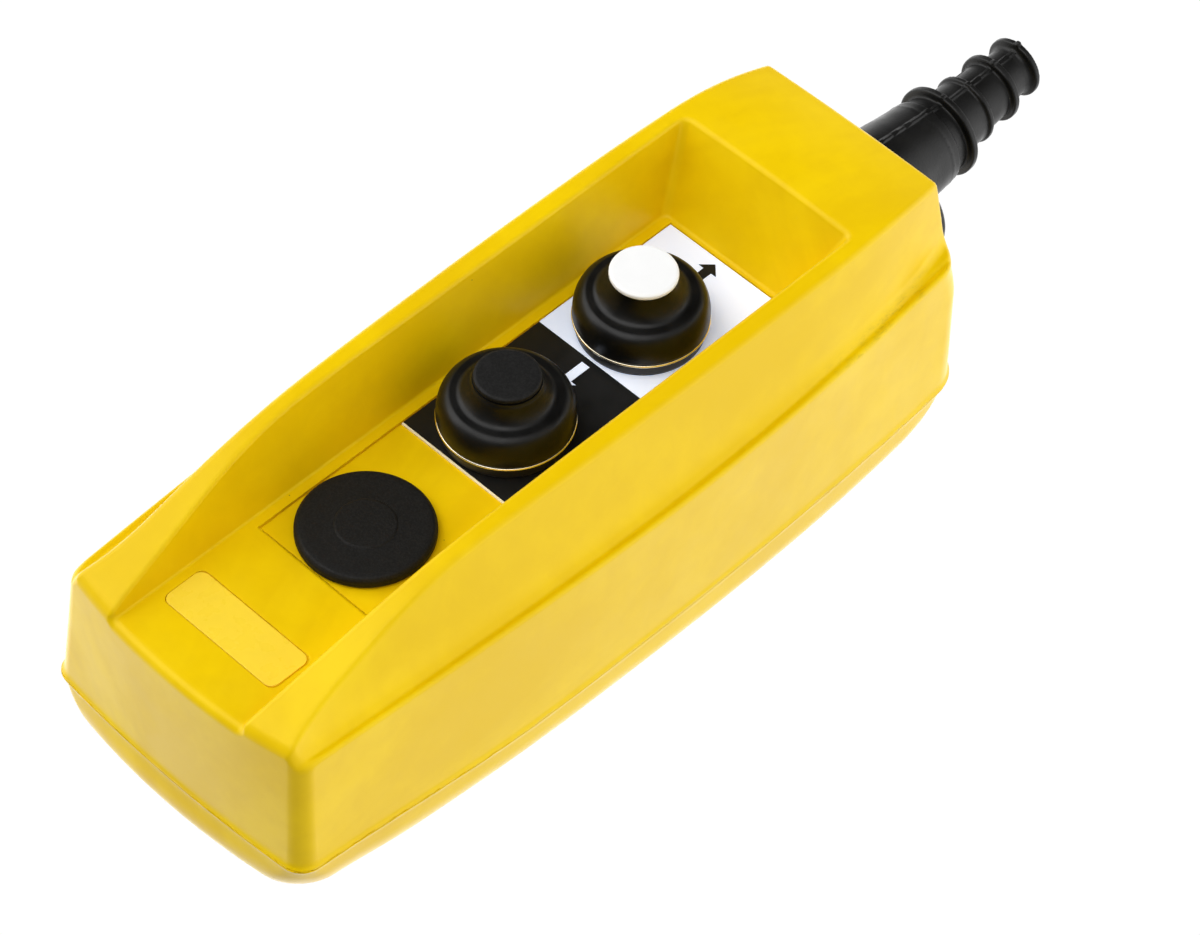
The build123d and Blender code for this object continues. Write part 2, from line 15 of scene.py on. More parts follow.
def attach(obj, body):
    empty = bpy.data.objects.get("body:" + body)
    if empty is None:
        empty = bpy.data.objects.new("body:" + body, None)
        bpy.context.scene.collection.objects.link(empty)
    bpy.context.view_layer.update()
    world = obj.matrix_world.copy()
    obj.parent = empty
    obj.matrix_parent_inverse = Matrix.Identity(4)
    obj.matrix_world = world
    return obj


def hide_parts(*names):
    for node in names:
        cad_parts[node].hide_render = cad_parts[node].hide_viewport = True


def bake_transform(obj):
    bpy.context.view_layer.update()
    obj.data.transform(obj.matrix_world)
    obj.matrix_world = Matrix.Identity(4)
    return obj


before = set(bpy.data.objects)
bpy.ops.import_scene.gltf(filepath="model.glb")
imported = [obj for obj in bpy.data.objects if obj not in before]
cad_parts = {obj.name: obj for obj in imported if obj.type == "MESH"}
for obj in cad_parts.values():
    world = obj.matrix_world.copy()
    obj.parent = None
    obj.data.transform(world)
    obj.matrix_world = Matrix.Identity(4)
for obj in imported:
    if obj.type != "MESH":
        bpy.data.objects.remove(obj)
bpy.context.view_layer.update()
scene = bpy.context.scene

MM = 0.001
COARSE = 1.0  # grid spacing factor

# ------------------------------------------------------------------ main sizes
Z_PART = 15.4  # joint plane of the two shells
SIDE_HEIGHT = 35.0
Z_SHOULDER = Z_PART + SIDE_HEIGHT
Z_FLOOR = 51.4  # floor of the trough that holds the controls
Z_POCKET = Z_FLOOR - 0.5  # floor of the legend and badge pockets
Z_LAMINATE = Z_FLOOR - 0.49  # underside of legends and badge

CONTROL_PITCH = 40.0
RAISE_Y, LOWER_Y, PLUG_Y = CONTROL_PITCH, 0.0, -CONTROL_PITCH
CONTROL_BORE = 11.25
BADGE_Y = -75.5
FIELD_Y, FIELD_HALF_X, FIELD_HALF_Y = 5.6, 15.75, 60.05  # pocket of the legends
LEGEND_HALF_X = 15.62
POSTS = [(x, y) for y in (-79.0, 90.0) for x in (-27.0, 27.0)]

SLEEVE_Z, FLANGE_Z = 42.0, 43.0  # middle of the sleeve's hole and of its flange
SEAT_Y = 105.4  # flat face the flange sits on
BASE_END, SLEEVE_TIP = 132.0, 162.0  # ends of the sleeve's thick base and of its neck


# ----------------------------------------------------------------- small maths
def curve(xs, ys):
    """Smooth curve through points, constant beyond its ends."""
    xs, ys = np.array(xs, float), np.array(ys, float)
    gaps = np.diff(xs)
    rises = np.diff(ys) / gaps
    slopes = np.empty_like(xs)
    slopes[1:-1] = (rises[:-1] * gaps[1:] + rises[1:] * gaps[:-1]) / (gaps[:-1] + gaps[1:])
    slopes[0], slopes[-1] = rises[0], rises[-1]

    def value(x):
        x = np.clip(x, xs[0], xs[-1])
        i = np.clip(np.searchsorted(xs, x) - 1, 0, len(xs) - 2)
        t = (x - xs[i]) / gaps[i]
        t2, t3 = t * t, t * t * t
        return (
            (2 * t3 - 3 * t2 + 1) * ys[i]
            + (t3 - 2 * t2 + t) * gaps[i] * slopes[i]
            + (3 * t2 - 2 * t3) * ys[i + 1]
            + (t3 - t2) * gaps[i] * slopes[i + 1]
        )

    return value


def fitted(xs, ys, low, high):
    """Fifth-order polynomial fitted to points, constant outside low to high."""
    factors = np.polyfit(np.array(xs) / 100.0, ys, 5)
    return lambda x: np.polyval(factors, np.clip(x, low, high) / 100.0)


def ease(x, start, end):
    """Smooth step from 0 at start to 1 at end."""
    t = np.clip((x - start) / (end - start), 0, 1)
    return t * t * (3 - 2 * t)


def ridge_at(x, middle, width):
    """Bell of height 1 around middle."""
    return np.exp(-(((x - middle) / width) ** 2))


def cut(a, b, r):
    """Intersection of two fields, rounded by r."""
    return np.minimum(-r, np.maximum(a, b)) + np.hypot(np.maximum(a + r, 0), np.maximum(b + r, 0))


def join(a, b, r):
    """Union of two fields, rounded by r."""
    return np.maximum(r, np.minimum(a, b)) - np.hypot(np.maximum(r - a, 0), np.maximum(r - b, 0))


def rounded_rect(a, b, half_a, half_b, r):
    over_a, over_b = np.abs(a) - half_a + r, np.abs(b) - half_b + r
    outside = np.hypot(np.maximum(over_a, 0), np.maximum(over_b, 0))
    return outside + np.minimum(np.maximum(over_a, over_b), 0) - r


def lines(start, *spans):
    """Grid lines from start; each span is (end, spacing)."""
    out = []
    for end, spacing in spans:
        count = max(1, int(round((end - start) / spacing)))
        out.append(np.linspace(start, end, count + 1)[:-1])
        start = end
    return np.append(np.concatenate(out), end)


# --------------------------------------------------------- surface from a field
def cell_points(values, grid):
    """One point in every cell the surface crosses, and the point number of each cell."""
    inside = values < 0
    nx, ny, nz = (n - 1 for n in values.shape)
    corners = list(np.ndindex(2, 2, 2))
    full = np.zeros((nx, ny, nz), np.int8)
    for a, b, c in corners:
        full += inside[a : nx + a, b : ny + b, c : nz + c]
    cells = np.nonzero((full > 0) & (full < 8))
    ids = np.full(full.shape, -1, np.int64)
    ids[cells] = np.arange(len(cells[0]))
    total = np.zeros((len(cells[0]), 3))
    count = np.zeros(len(cells[0]))
    for near in corners:
        for axis in range(3):
            if near[axis]:
                continue
            far = list(near)
            far[axis] = 1
            near_at = tuple(c + o for c, o in zip(cells, near))
            far_at = tuple(c + o for c, o in zip(cells, far))
            v_near, v_far = values[near_at], values[far_at]
            hit = (v_near < 0) != (v_far < 0)
            t = np.where(hit, v_near / np.where(hit, v_near - v_far, 1), 0)
            for w in range(3):
                base, end = grid[w][near_at[w]], grid[w][far_at[w]]
                total[:, w] += np.where(hit, base + t * (end - base), 0)
            count += hit
    return total / count[:, None], ids


def crossing_quads(inside, ids):
    """A quad around every grid edge that crosses the surface."""
    quads = []
    for axis in range(3):
        u, v = (axis + 1) % 3, (axis + 2) % 3
        low, high = [slice(None)] * 3, [slice(None)] * 3
        low[axis], high[axis] = slice(0, -1), slice(1, None)
        edges = np.nonzero(inside[tuple(low)] != inside[tuple(high)])
        keep = (edges[u] > 0) & (edges[v] > 0)
        keep &= (edges[u] < inside.shape[u] - 1) & (edges[v] < inside.shape[v] - 1)
        edges = [e[keep] for e in edges]
        around = []
        for du, dv in ((-1, -1), (0, -1), (0, 0), (-1, 0)):
            cell = [e.copy() for e in edges]
            cell[u] += du
            cell[v] += dv
            around.append(ids[tuple(cell)])
        quad = np.stack(around, 1)
        flip = ~inside[tuple(edges)]
        quad[flip] = quad[flip][:, ::-1]
        quads.append(quad)
    quads = np.concatenate(quads)
    return quads[(quads >= 0).all(1)]


def gradient(field, points, h):
    out = np.empty_like(points)
    for w in range(3):
        a, b = points.copy(), points.copy()
        a[:, w] += h
        b[:, w] -= h
        out[:, w] = (field(*a.T) - field(*b.T)) / (2 * h)
    return out


def net(field, xs, ys, zs, reach):
    """Quads of field = 0 on an uneven grid, points moved onto the surface, and normals."""
    values = np.empty((len(xs), len(ys), len(zs)))
    for i in range(0, len(xs), 24):  # in slabs, to save memory
        values[i : i + 24] = field(*np.meshgrid(xs[i : i + 24], ys, zs, indexing="ij"))
    values[values == 0] = 1e-9
    points, ids = cell_points(values, (xs, ys, zs))
    quads = crossing_quads(values < 0, ids)
    for _ in range(5):
        slope = gradient(field, points, 0.02)
        move = -field(*points.T) / np.maximum((slope * slope).sum(1), 0.05)
        points = points + slope * np.clip(move, -reach, reach)[:, None]
    normals = gradient(field, points, 0.04)
    normals = normals / np.maximum(np.linalg.norm(normals, axis=1), 1e-9)[:, None]
    return points, quads, normals


# ---------------------------------------------------------------- mesh builders
def add_object(name, mesh):
    obj = bpy.data.objects.new(name, mesh)
    scene.collection.objects.link(obj)
    return obj


def smooth(mesh):
    mesh.polygons.foreach_set("use_smooth", np.ones(len(mesh.polygons), bool))


def net_object(name, field, xs, ys, zs, reach=0.6):
    points, quads, normals = net(field, xs, ys, zs, reach)
    used = np.unique(quads)
    renumber = np.full(len(points), -1)
    renumber[used] = np.arange(len(used))
    points, normals, quads = points[used], normals[used], renumber[quads]
    mesh = bpy.data.meshes.new(name)
    mesh.vertices.add(len(points))
    mesh.vertices.foreach_set("co", (points * MM).astype(np.float32).ravel())
    mesh.loops.add(len(quads) * 4)
    mesh.loops.foreach_set("vertex_index", quads.astype(np.int32).ravel())
    mesh.polygons.add(len(quads))
    starts = np.arange(0, len(quads) * 4, 4, dtype=np.int32)
    mesh.polygons.foreach_set("loop_start", starts)
    mesh.update(calc_edges=True)
    mesh.validate()
    smooth(mesh)
    # the normals only fit if validation left every vertex in place
    if len(mesh.vertices) == len(normals):
        mesh.normals_split_custom_set_from_vertices([tuple(n) for n in normals])
    return add_object(name, mesh)


def lathe(name, profile, y, turns=144, sharp=32.0):
    """Round piece about a Z axis at y; profile is (radius, height above the trough floor).
    Only the last profile point may lie on the axis."""
    verts, faces, rows = [], [], []
    for r, z in profile:
        count = 1 if r < 1e-6 else turns
        rows.append(range(len(verts), len(verts) + count))
        for i in range(count):
            a = 2 * math.pi * i / turns
            verts.append((r * math.cos(a) * MM, (y + r * math.sin(a)) * MM, (Z_FLOOR + z) * MM))
    for a, b in zip(rows, rows[1:]):
        for i in range(turns):
            j = (i + 1) % turns
            if len(b) == 1:
                faces.append((a[i], a[j], b[0]))
            else:
                faces.append((a[i], a[j], b[j], b[i]))
    mesh = bpy.data.meshes.new(name)
    mesh.from_pydata(verts, [], faces)
    smooth(mesh)
    mesh.set_sharp_from_angle(angle=math.radians(sharp))
    return add_object(name, mesh)


def soft(points, steps=6):
    """Profile with its corners rounded; points are (r, z) or (r, z, corner radius)."""
    out = []
    for i, p in enumerate(points):
        radius = p[2] if len(p) > 2 else 0
        corner = np.array(p[:2], float)
        if not radius or i in (0, len(points) - 1):
            out.append(tuple(corner))
            continue
        a = np.array(points[i - 1][:2], float) - corner
        b = np.array(points[i + 1][:2], float) - corner
        len_a, len_b = np.linalg.norm(a), np.linalg.norm(b)
        a, b = a / len_a, b / len_b
        half = math.acos(np.clip(a @ b, -1, 1)) / 2
        if half > 1.56:  # almost straight
            out.append(tuple(corner))
            continue
        back = min(radius / math.tan(half), 0.49 * len_a, 0.49 * len_b)
        radius = back * math.tan(half)
        centre = corner + (a + b) / np.linalg.norm(a + b) * radius / math.sin(half)
        start, end = corner + a * back - centre, corner + b * back - centre
        first = math.atan2(start[1], start[0])
        sweep = (math.atan2(end[1], end[0]) - first + math.pi) % (2 * math.pi) - math.pi
        for k in range(steps + 1):
            t = first + sweep * k / steps
            out.append((centre[0] + radius * math.cos(t), centre[1] + radius * math.sin(t)))
    return out


def through(points, steps):
    """Smooth open profile through points."""
    p = np.array(points, float)
    s = np.concatenate([[0], np.cumsum(np.linalg.norm(np.diff(p, axis=0), axis=1))])
    parts = [np.linspace(a, b, steps, endpoint=False) for a, b in zip(s, s[1:])]
    t = np.concatenate(parts + [[s[-1]]])
    return list(zip(curve(s, p[:, 0])(t), curve(s, p[:, 1])(t)))


def plate(name, outlines, z0, z1, bevel):
    """Flat piece from closed outlines (the first is the outside, the rest are holes)."""
    data = bpy.data.curves.new(name, "CURVE")
    data.dimensions = "2D"
    data.fill_mode = "BOTH"
    data.extrude = (z1 - z0) / 2 * MM - bevel * MM
    data.bevel_depth = bevel * MM
    data.bevel_resolution = 2
    data.offset = -bevel * MM
    for outline in outlines:
        spline = data.splines.new("POLY")
        spline.points.add(len(outline) - 1)
        for point, (x, y) in zip(spline.points, outline):
            point.co = (x * MM, y * MM, 0, 1)
        spline.use_cyclic_u = True
    curve_object = add_object(name + "_tmp", data)
    bpy.context.view_layer.update()
    mesh = bpy.data.meshes.new_from_object(curve_object)
    bpy.data.objects.remove(curve_object)
    mesh.transform(Matrix.Translation((0, 0, (z0 + z1) / 2 * MM)))
    mesh.name = name
    smooth(mesh)
    mesh.set_sharp_from_angle(angle=math.radians(40))
    return add_object(name, mesh)


def hole_outline(y, r, count=96):
    """Clockwise circle on the Y axis."""
    angles = [-2 * math.pi * i / count for i in range(count)]
    return [(r * math.cos(a), y + r * math.sin(a)) for a in angles]


def box_outline(half_x, y0, y1):
    return [(-half_x, y0), (half_x, y0), (half_x, y1), (-half_x, y1)]


def rounded_outline(cx, cy, width, length, r, steps=8):
    out = []
    for sx, sy, start in ((1, -1, -90), (1, 1, 0), (-1, 1, 90), (-1, -1, 180)):
        x, y = cx + sx * (width / 2 - r), cy + sy * (length / 2 - r)
        for k in range(steps + 1):
            a = math.radians(start + 90 * k / steps)
            out.append((x + r * math.cos(a), y + r * math.sin(a)))
    return out


# --------------------------------------------------------------- casing shapes
# Each table is a row of Y stations, then the value at each.
# half width at the shoulder
w_shoulder = fitted(
    (-90, -85, -75, -62, -44, -28, -6, 17, 29, 48, 68, 82, 92, 104),
    (34.2, 34.5, 35.15, 36.0, 36.95, 37.8, 38.7, 39.15, 39.1, 38.3, 37.0, 36.0, 35.1, 33.8),
    low=-93, high=105,
)
# half width at the joint
w_parting = fitted(
    (-92, -80, -67, -51, -35, -12, 10, 32, 56, 75, 91, 106),
    (36.75, 37.5, 38.2, 38.9, 39.4, 40.1, 40.4, 40.2, 39.6, 38.95, 37.9, 36.7),
    low=-93, high=107,
)
# height of the guards along the controls
crest = curve(
    (-105, -97, -94, -91, -87, -83, -79, -75, -71, -67, -62, -57, -52,
     -47, -42, -37, -27, -17, 3, 43, 73, 79, 85, 93, 103, 110),
    (48.0, 50.8, 52.0, 53.35, 55.0, 56.4, 57.85, 59.3, 60.75, 62.2, 64.0, 65.6, 66.95,
     68.0, 68.75, 69.25, 69.65, 69.75, 69.85, 69.9, 70.0, 69.95, 69.7, 68.8, 66.9, 65.2),
)
# half width over the guards at their crest
guard_half = curve(
    (-100, -95, -91, -87, -83, -79, -75, -71, -67, -57, -47,
     -37, -17, 3, 23, 43, 63, 73, 83, 93, 103, 110),
    (32.9, 32.3, 31.3, 30.1, 29.2, 28.6, 28.2, 28.0, 27.85, 27.55, 27.4,
     27.55, 28.05, 28.4, 28.6, 28.55, 28.25, 27.95, 27.45, 26.5, 24.9, 23.4),
)
# rounding between the rear shell's sides and its back
bilge = curve(
    (-96, -80, -65, -40, -10, 80, 98, 107),
    (14.6, 13.8, 12.6, 11.4, 10.75, 10.6, 12.2, 13.8),
)


def joint_z(y):
    """Height of the joint line, a little higher towards the -Y end."""
    return Z_PART + 2.9 * ease(-y, 30.0, 94.0)


def body_prism(x, y, rise, flare, extra_round=0.0, bulge=0.0, lean=0.0):
    """Side walls and end faces; rise runs from the joint plane (0) to the shoulder (1)."""
    level = np.clip(rise, 0, 1)
    x = x + 1.15 * ease(-y, 15.0, 88.0) * (1 - 0.75 * level)  # lopsided at the -Y end
    width = w_parting(y) * (1 - rise) + w_shoulder(y) * rise + flare - lean
    side = np.abs(x) - width
    bow = 1 - (x / 33.0) ** 2
    low_end = (-92.45 + 2.0 * rise) - (1.5 + 1.5 * level + bulge) * bow - flare - y
    cable_end = y - (106.2 - 1.05 * rise) - (1.2 - 0.72 * rise) * bow - flare
    far = ease(y, -20, 20)
    low_round = 4.2 - 0.8 * rise
    cable_round = 8.6 - 4.2 * rise + 3.0 * ease(rise, 0.7, 1.0)
    r = low_round * (1 - far) + cable_round * far + extra_round
    return cut(side, np.maximum(low_end, cable_end), np.clip(r, 1.5, 40.0))


def casing_top(x, y, z):
    """Guards, and the shoulder with its groove, before the trough is cut."""
    across = np.abs(x)
    ridge = crest(y)
    crown = ease(y, 55, 72) * (0.3 - 0.45 * (across / 27.0) ** 2)
    to_cable = ease(y, 58, 102)
    draft = (0.33 - 0.09 * to_cable) * np.maximum(ridge - z, -2)
    wall = (across - guard_half(y) - draft) * 0.95
    inset = w_shoulder(y) - across
    beyond = np.maximum(inset - 1.5, 0)
    groove = 0.32 * ridge_at(inset, 1.75, 0.62)
    height = Z_SHOULDER - groove + (0.12 - 0.05 * to_cable) * beyond**2
    slope = np.minimum(0.24 * beyond, 1.6)
    shoulder = (z - height) / np.sqrt(1 + slope**2)
    return cut(join(wall, shoulder, 2.6 - 1.3 * to_cable), z - ridge - crown, 1.1)


def trough(x, y, z):
    """Hollow between the guards, its walls drafted, closed at the cable end."""
    side = (np.abs(x) - 18.5 - 0.301 * (z - Z_FLOOR)) * 0.957
    end = (y - 66.9 - 0.575 * (z - Z_FLOOR)) * 0.867
    return cut(cut(side, end, 1.7), Z_FLOOR - z, 0.55)


def casing_outer(x, y, z):
    flare = 0.42 * ridge_at(z, joint_z(y), 0.85)
    prism = body_prism(x, y, (z - Z_PART) / SIDE_HEIGHT, flare)
    top = cut(casing_top(x, y, z), -trough(x, y, z), 0.85)
    return cut(prism, top, 1.0 + 1.1 * ease(-y, 84, 90))


def front_field(x, y, z):
    wall = 2.5
    outer = casing_outer(x, y, z)
    shell = np.maximum(outer, -(outer + wall))
    for px, py in POSTS:
        post = np.hypot(x - px, y - py) - 4.6
        shell = np.minimum(shell, np.maximum(np.maximum(post, outer), z - 50.0))
    # flat seat of the cable sleeve, and its hole through the cable end only
    seat = rounded_rect(x, z - FLANGE_Z, 26.0, 19.0, 13.0)
    shell = np.minimum(shell, np.maximum(seat, np.maximum(y - SEAT_Y, 101.0 - y)))
    shell = np.maximum(shell, -np.maximum(seat, SEAT_Y - y))
    shell = np.maximum(shell, 12.7 - np.hypot(x, z - SLEEVE_Z) - 30.0 * (y < 90))
    # legend pocket, with a finer groove around its edge
    edge = np.maximum(np.abs(x) - FIELD_HALF_X, np.abs(y - FIELD_Y) - FIELD_HALF_Y)
    shell = np.maximum(shell, -np.maximum(edge, Z_POCKET - z))
    shell = np.maximum(shell, -np.maximum(np.abs(edge - 0.05) - 0.2, 50.55 - z))
    badge_pocket = rounded_rect(x, y - BADGE_Y, 16.1, 5.6, 2.0)
    shell = np.maximum(shell, -np.maximum(badge_pocket, Z_POCKET - z))
    for hole_y in (RAISE_Y, LOWER_Y, PLUG_Y):
        hole = np.where(z > 40, CONTROL_BORE - np.hypot(x, y - hole_y), -5.0)
        shell = np.maximum(shell, hole)
    return cut(shell, joint_z(y) + 0.03 - z, 0.22)


def rear_field(x, y, z):
    wall = 3.0
    top = joint_z(y)
    depth = np.clip((top - z) / top, 0, 1)
    lean = 0.07 * ease(-y, 60.0, 84.0) + 0.15 * ease(y, 86.0, 104.0)
    prism = body_prism(
        x, y, 0.0,
        flare=0.38 * ridge_at(z, top, 0.9),
        extra_round=11.0 * depth,
        bulge=1.6 * ease(depth, 0.0, 0.5),
        lean=lean * np.maximum(top - z, 0),
    )
    outer = cut(prism, -z, bilge(y))
    shell = np.maximum(outer, -(outer + wall))
    # posts with a raised collar, a recess from below and a through hole
    for px, py in POSTS:
        away = np.hypot(x - px, y - py)
        shell = np.minimum(shell, np.maximum(away - 6.0, outer))
        collar = np.maximum(np.maximum(away - 5.2, outer - 0.7), np.maximum(0.05 - z, z - 9.0))
        shell = np.minimum(shell, collar)
    for px, py in POSTS:
        away = np.hypot(x - px, y - py)
        shell = np.maximum(shell, -np.maximum(away - 4.4, z - 6.0))
        shell = np.maximum(shell, 2.3 - away)
    return cut(shell, z - top + 0.03, 0.22)


def seal_field(x, y, z):
    """Thin band that follows the joint, 1.5 mm inside the casing's outline."""
    band = np.abs(body_prism(x, y, 0.0, 0.0) + 1.5) - 0.55
    return np.maximum(band, np.abs(z - joint_z(y) + 0.6) - 0.52)


# ---------------------------------------------------------------- cable sleeve
# Y stations, then the value: height of the sleeve's axis, and radius of its bore
axis_z = curve((100, 112, 128, 136, 145, 153, 162), (41.0, 41.0, 40.6, 41.1, 41.8, 42.7, 43.9))
bore_r = curve(
    (98, 118, 130, 138, 140, 147, 150, 164), (9.0, 8.4, 6.9, 6.4, 5.2, 4.8, 4.0, 4.0)
)
# Y stations, then radius
BASE_RADII = ((105, 112, 121, 132.5), (12.15, 11.75, 11.2, 10.15))
NECK_RADII = (
    (131.0, 136.1, 136.9, 144.6, 145.3, 153.0, 153.7, 158.5, 162.0),
    (9.45, 9.1, 7.9, 7.5, 7.05, 6.65, 6.05, 5.65, 5.7),
)
# Y of the middle, half thickness, radius
RINGS = [(136.1, 0.85, 11.0), (144.8, 0.7, 8.2), (153.2, 0.85, 8.1), (161.2, 0.75, 7.1)]
SLITS = [(138.9, 141.2), (147.3, 150.2)]  # Y of start and end
SLIT_TURN = 0.9  # radians from +Z towards -X
RIDGE_HALF = 0.5


def sleeve_field(x, y, z):
    w = z - axis_z(y)
    r = np.hypot(x, w)
    base, neck = np.interp(y, *BASE_RADII), np.interp(y, *NECK_RADII)
    body = cut(r - base, y - BASE_END, 0.45)
    body = join(body, np.maximum((r - neck) * 0.97, y - SLEEVE_TIP), 0.3)
    for middle, half, radius in RINGS:
        ring = cut(np.abs(y - middle) - half, r - radius, 0.45)
        body = join(body, ring, 0.45 if middle < 160 else 1.1)
    # thin bead before the end of the base
    body = body - 0.10 * ridge_at(y, 129.6, 0.35)
    # narrow ridge along the top, over the rings too, and a nub at the tip
    profile = np.where(y < BASE_END, base, neck)
    ridge = np.maximum(np.abs(x) - RIDGE_HALF, np.abs(w) - profile - 0.26)
    body = join(body, np.maximum(np.maximum(ridge, 108.5 - y), -w), 0.3)
    for middle, half, radius in RINGS:
        rib = np.maximum(np.abs(x) - RIDGE_HALF, np.abs(w) - radius - 0.22)
        rib = np.maximum(rib, np.abs(y - middle) - half + 0.2)
        body = join(body, np.maximum(rib, -w), 0.25)
    nub = np.sqrt(x**2 + (w - 7.0) ** 2 + (y - 161.4) ** 2) - 0.75
    body = join(body, nub, 0.25)
    # slits in the necks, on the upper -X side
    across = x * math.cos(SLIT_TURN) + w * math.sin(SLIT_TURN)
    along = -x * math.sin(SLIT_TURN) + w * math.cos(SLIT_TURN)
    for start, end in SLITS:
        slit = np.maximum(np.abs(across) - 0.3, np.abs(y - (start + end) / 2) - (end - start) / 2)
        body = cut(body, -np.maximum(slit, 5.9 - along), 0.12)
    body = cut(body, y - SLEEVE_TIP, 0.3)
    body = np.maximum(body, SEAT_Y + 0.05 - y)
    outline = rounded_rect(x, z - FLANGE_Z, 25.2, 17.4, 12.4)
    body = join(body, cut(outline, np.abs(y - 107.45) - 2.0, 1.1), 1.6)
    # spigot through the casing wall and the lip inside it
    away = np.hypot(x, z - SLEEVE_Z)
    for radius, start, end in ((12.5, 100.9, 106.5), (15.4, 99.4, 101.35)):
        body = np.minimum(body, np.maximum(away - radius, np.maximum(y - end, start - y)))
    return np.maximum(body, bore_r(y) - r)


# ------------------------------------------------------------------- materials
def linear(rgb):
    """Linear values of an 8-bit sRGB colour."""
    return tuple(((c / 255 + 0.055) / 1.055) ** 2.4 if c > 10 else c / 255 / 12.92 for c in rgb)


def opaque(rgb):
    return tuple(rgb) + (1.0,)


class Shade:
    """Node material builder around one Principled shader."""

    def __init__(self, name):
        self.material = bpy.data.materials.new(name)
        self.material.use_nodes = True
        self.tree = self.material.node_tree
        self.tree.nodes.clear()
        out = self.node("OutputMaterial")
        self.surface = self.node("BsdfPrincipled")
        self.put(out.inputs[0], self.surface.outputs[0])
        self.place = self.node("TexCoord").outputs["Object"]

    def node(self, kind):
        return self.tree.nodes.new("ShaderNode" + kind)

    def put(self, socket, value):
        if isinstance(value, bpy.types.NodeSocket):
            self.tree.links.new(value, socket)
        else:
            socket.default_value = value

    def math(self, operation, a, b):
        n = self.node("Math")
        n.operation = operation
        for i, v in enumerate((a, b, 0.0)):
            self.put(n.inputs[i], v)
        return n.outputs[0]

    def plus(self, a, b):
        return self.math("ADD", a, b)

    def times(self, a, b):
        return self.math("MULTIPLY", a, b)

    def noise(self, scale, detail=3.0, rough=0.5, distortion=0.0, vector=None):
        n = self.node("TexNoise")
        self.put(n.inputs["Vector"], vector or self.place)
        n.inputs["Scale"].default_value = scale
        n.inputs["Detail"].default_value = detail
        n.inputs["Roughness"].default_value = rough
        n.inputs["Distortion"].default_value = distortion
        return n.outputs["Fac"]

    def span(self, value, between, to=(0.0, 1.0)):
        """Smooth map of one range onto another."""
        n = self.node("MapRange")
        n.interpolation_type = "SMOOTHSTEP"
        for i, v in enumerate((value, *between, *to)):
            self.put(n.inputs[i], v)
        return n.outputs[0]

    def vary(self, to=(0.0, 1.0), **noise):
        """Noise spread over a range."""
        return self.span(self.noise(**noise), between=(0.3, 0.7), to=to)

    def mix(self, share, a, b):
        n = self.node("Mix")
        n.data_type = "RGBA"
        # inputs 6 and 7 and output 2 are the colour sockets
        for i, v in ((0, share), (6, a), (7, b)):
            self.put(n.inputs[i], v)
        return n.outputs[2]

    def stretch(self, *scale):
        n = self.node("Mapping")
        self.put(n.inputs["Vector"], self.place)
        n.inputs["Scale"].default_value = scale
        return n.outputs[0]

    def specks(self, scale, radius, share):
        """Round spots: cells per metre, radius in metres, share of cells that carry one."""
        n = self.node("TexVoronoi")
        self.put(n.inputs["Vector"], self.place)
        n.inputs["Scale"].default_value = scale
        size = radius * scale
        near = self.span(n.outputs["Distance"], between=(size * 0.6, size * 1.2), to=(1.0, 0.0))
        chance = self.node("SeparateColor")
        self.put(chance.inputs[0], n.outputs["Color"])
        return self.times(near, self.math("LESS_THAN", chance.outputs[0], share))

    def speckle(self, colour, spot, strength, **specks):
        """Colour with spots of another colour."""
        return self.mix(self.times(self.specks(**specks), strength), colour, spot)

    def bump(self, height, distance, strength):
        n = self.node("Bump")
        n.inputs["Strength"].default_value = strength
        n.inputs["Distance"].default_value = distance
        self.put(n.inputs["Height"], height)
        self.put(self.surface.inputs["Normal"], n.outputs[0])

    def axis(self, i):
        n = self.node("SeparateXYZ")
        self.put(n.inputs[0], self.place)
        return n.outputs[i]

    def set(self, **values):
        for key, value in values.items():
            self.put(self.surface.inputs[key.replace("_", " ")], value)
        return self.material


def paint_groove_shade(s):
    """Painted shade: dark patches along the shoulder groove on the +X side, near the cable."""
    x, y, z = s.axis(0), s.axis(1), s.axis(2)
    place = s.times(s.span(y, (0.045, 0.075)), s.span(y, (0.088, 0.102), to=(1.0, 0.0)))
    place = s.times(place, s.math("GREATER_THAN", x, 0.0))
    level = s.times(s.span(z, (0.0492, 0.0500)), s.span(z, (0.0503, 0.0525), to=(1.0, 0.0)))
    place = s.times(place, level)
    patches = s.noise(scale=520.0, detail=5.0, rough=0.8, vector=s.stretch(1.0, 0.35, 1.0))
    return s.times(place, s.span(patches, (0.44, 0.74)))


